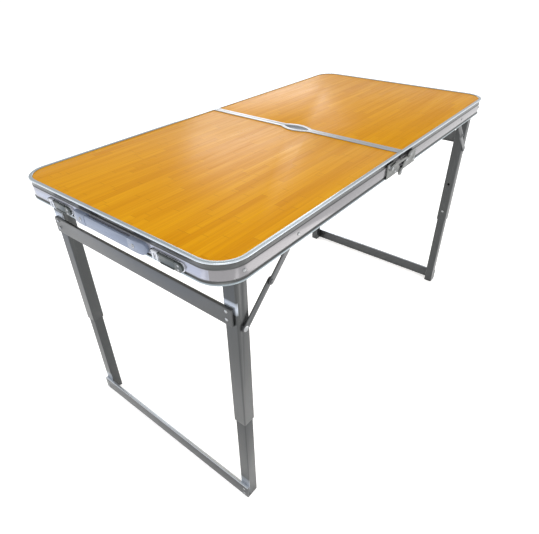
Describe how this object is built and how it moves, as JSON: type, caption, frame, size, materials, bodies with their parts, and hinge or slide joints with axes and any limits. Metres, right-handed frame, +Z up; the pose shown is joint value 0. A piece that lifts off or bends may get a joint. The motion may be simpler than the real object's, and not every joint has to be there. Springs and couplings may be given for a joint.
{
  "type": "folding table",
  "caption": "Suitcase-type folding table with a bamboo-pattern top in aluminium rims, telescopic folding leg frames, stays, side hinges, carrying handle and case latches.",
  "frame": {"origin": "on the floor, under the middle of the table", "axes": "+X along the table towards the end without the handle, +Y across it, +Z up"},
  "size_m": [1.2099, 0.6194, 0.69],
  "materials": {
    "laminate": "semi-gloss printed bamboo laminate",
    "rim_alu": "polished",
    "leg_alu": "satin",
    "steel": "satin",
    "dark_steel": "dark satin",
    "handle_plastic": "semi-gloss",
    "cap_plastic": "matte"
  },
  "bodies": {
    "front_half": {"front_panel": "laminate", "front_rim": "rim_alu", "front_seam_trim": "rim_alu", "front_leg_brackets": "steel", "front_stay_brackets": "steel", "front_rim_rivets": "steel", "front_hinge_plate_l": "dark_steel", "front_hinge_plate_r": "dark_steel", "hinge_pins": "steel", "front_pivot_bolts": "steel", "handle_mount_l": "handle_plastic", "handle_mount_r": "handle_plastic", "handle_screws": "steel", "latch_base_l": "dark_steel", "latch_base_r": "dark_steel"},
    "rear_half": {"rear_panel": "laminate", "rear_rim": "rim_alu", "rear_seam_trim": "rim_alu", "rear_leg_brackets": "steel", "rear_stay_brackets": "steel", "rear_rim_rivets": "steel", "rear_hinge_plate_l": "dark_steel", "rear_hinge_plate_r": "dark_steel", "rear_pivot_bolts": "steel", "latch_keepers": "steel"},
    "front_upper_frame": {"front_upper_leg_l": "leg_alu", "front_upper_leg_r": "leg_alu", "front_top_rail": "leg_alu", "front_rail_rivets": "steel", "front_stay_pins": "steel"},
    "front_lower_frame": {"front_lower_leg_l": "leg_alu", "front_lower_leg_r": "leg_alu", "front_foot_bar": "leg_alu", "front_foot_caps": "cap_plastic", "front_foot_rivets": "steel"},
    "front_lower_stay_pair": {"front_lower_stays": "leg_alu"},
    "front_upper_stay_pair": {"front_upper_stays": "leg_alu"},
    "front_button_l": {"front_snap_button_l": "steel"},
    "front_button_r": {"front_snap_button_r": "steel"},
    "rear_upper_frame": {"rear_upper_leg_l": "leg_alu", "rear_upper_leg_r": "leg_alu", "rear_top_rail": "leg_alu", "rear_rail_rivets": "steel", "rear_stay_pins": "steel"},
    "rear_lower_frame": {"rear_lower_leg_l": "leg_alu", "rear_lower_leg_r": "leg_alu", "rear_foot_bar": "leg_alu", "rear_foot_caps": "cap_plastic", "rear_foot_rivets": "steel"},
    "rear_lower_stay_pair": {"rear_lower_stays": "leg_alu"},
    "rear_upper_stay_pair": {"rear_upper_stays": "leg_alu"},
    "rear_button_l": {"rear_snap_button_l": "steel"},
    "rear_button_r": {"rear_snap_button_r": "steel"},
    "handle": {"handle_grip": "handle_plastic"},
    "lever_l": {"latch_lever_l": "dark_steel"},
    "claw_l": {"latch_claw_l": "steel"},
    "lever_r": {"latch_lever_r": "dark_steel"},
    "claw_r": {"latch_claw_r": "steel"},
    "hook_l": {"lock_hook_l": "steel"},
    "hook_r": {"lock_hook_r": "steel"}
  },
  "joints": [
    {"name": "table_fold", "type": "hinge", "parent": "front_half", "child": "rear_half", "pos_m": [0, 0, 0.643], "axis": [0, 1, 0], "range_deg": [0, 75]},
    {"name": "front_leg_fold", "type": "hinge", "parent": "front_half", "child": "front_upper_frame", "pos_m": [-0.5415, 0, 0.667], "axis": [0, -1, 0], "range_deg": [0, 90]},
    {"name": "front_leg_height", "type": "slide", "parent": "front_upper_frame", "child": "front_lower_frame", "axis": [0, 0, 1], "range_m": [0, 0.15]},
    {"name": "front_lower_stay_turn", "type": "hinge", "parent": "front_upper_frame", "child": "front_lower_stay_pair", "pos_m": [-0.5415, 0, 0.531], "axis": [0, -1, 0], "range_deg": [-1, 48]},
    {"name": "front_upper_stay_turn", "type": "hinge", "parent": "front_half", "child": "front_upper_stay_pair", "pos_m": [-0.395, 0, 0.667], "axis": [0, -1, 0], "range_deg": [-49, 1]},
    {"name": "front_button_l_press", "type": "slide", "parent": "front_upper_frame", "child": "front_button_l", "axis": [1, 0, 0], "range_m": [-0.0018, 0], "stiffness_N_per_m": 400, "springref_m": 0.003},
    {"name": "front_button_r_press", "type": "slide", "parent": "front_upper_frame", "child": "front_button_r", "axis": [1, 0, 0], "range_m": [-0.0018, 0], "stiffness_N_per_m": 400, "springref_m": 0.003},
    {"name": "rear_leg_fold", "type": "hinge", "parent": "rear_half", "child": "rear_upper_frame", "pos_m": [0.5415, 0, 0.667], "axis": [0, 1, 0], "range_deg": [0, 90]},
    {"name": "rear_leg_height", "type": "slide", "parent": "rear_upper_frame", "child": "rear_lower_frame", "axis": [0, 0, 1], "range_m": [0, 0.15]},
    {"name": "rear_lower_stay_turn", "type": "hinge", "parent": "rear_upper_frame", "child": "rear_lower_stay_pair", "pos_m": [0.5415, 0, 0.531], "axis": [0, 1, 0], "range_deg": [-1, 48]},
    {"name": "rear_upper_stay_turn", "type": "hinge", "parent": "rear_half", "child": "rear_upper_stay_pair", "pos_m": [0.395, 0, 0.667], "axis": [0, 1, 0], "range_deg": [-49, 1]},
    {"name": "rear_button_l_press", "type": "slide", "parent": "rear_upper_frame", "child": "rear_button_l", "axis": [-1, 0, 0], "range_m": [-0.0018, 0], "stiffness_N_per_m": 400, "springref_m": 0.003},
    {"name": "rear_button_r_press", "type": "slide", "parent": "rear_upper_frame", "child": "rear_button_r", "axis": [-1, 0, 0], "range_m": [-0.0018, 0], "stiffness_N_per_m": 400, "springref_m": 0.003},
    {"name": "handle_swing", "type": "hinge", "parent": "front_half", "child": "handle", "pos_m": [-0.6045, -0.015, 0.655], "axis": [0, -1, 0], "range_deg": [0, 90]},
    {"name": "latch_lever_l_turn", "type": "hinge", "parent": "front_half", "child": "lever_l", "pos_m": [-0.601, 0.147, 0.6665], "axis": [0, 1, 0], "range_deg": [0, 100]},
    {"name": "latch_claw_l_turn", "type": "hinge", "parent": "front_half", "child": "claw_l", "pos_m": [-0.601, 0.174, 0.6665], "axis": [0, 1, 0], "range_deg": [0, 90]},
    {"name": "latch_lever_r_turn", "type": "hinge", "parent": "front_half", "child": "lever_r", "pos_m": [-0.601, -0.1715, 0.6665], "axis": [0, 1, 0], "range_deg": [0, 100]},
    {"name": "latch_claw_r_turn", "type": "hinge", "parent": "front_half", "child": "claw_r", "pos_m": [-0.601, -0.1445, 0.6665], "axis": [0, 1, 0], "range_deg": [0, 90]},
    {"name": "lock_hook_l_lift", "type": "hinge", "parent": "front_half", "child": "hook_l", "pos_m": [-0.056, 0.3036, 0.669], "axis": [0, -1, 0], "range_deg": [0, 30]},
    {"name": "lock_hook_r_lift", "type": "hinge", "parent": "front_half", "child": "hook_r", "pos_m": [-0.056, -0.3036, 0.669], "axis": [0, -1, 0], "range_deg": [0, 30]}
  ],
  "couplings": [
    {"joint": "front_lower_stay_turn", "follows": "front_leg_fold", "ratio": 0.52365},
    {"joint": "front_upper_stay_turn", "follows": "front_leg_fold", "ratio": -0.47635},
    {"joint": "rear_lower_stay_turn", "follows": "rear_leg_fold", "ratio": 0.52365},
    {"joint": "rear_upper_stay_turn", "follows": "rear_leg_fold", "ratio": -0.47635}
  ]
}
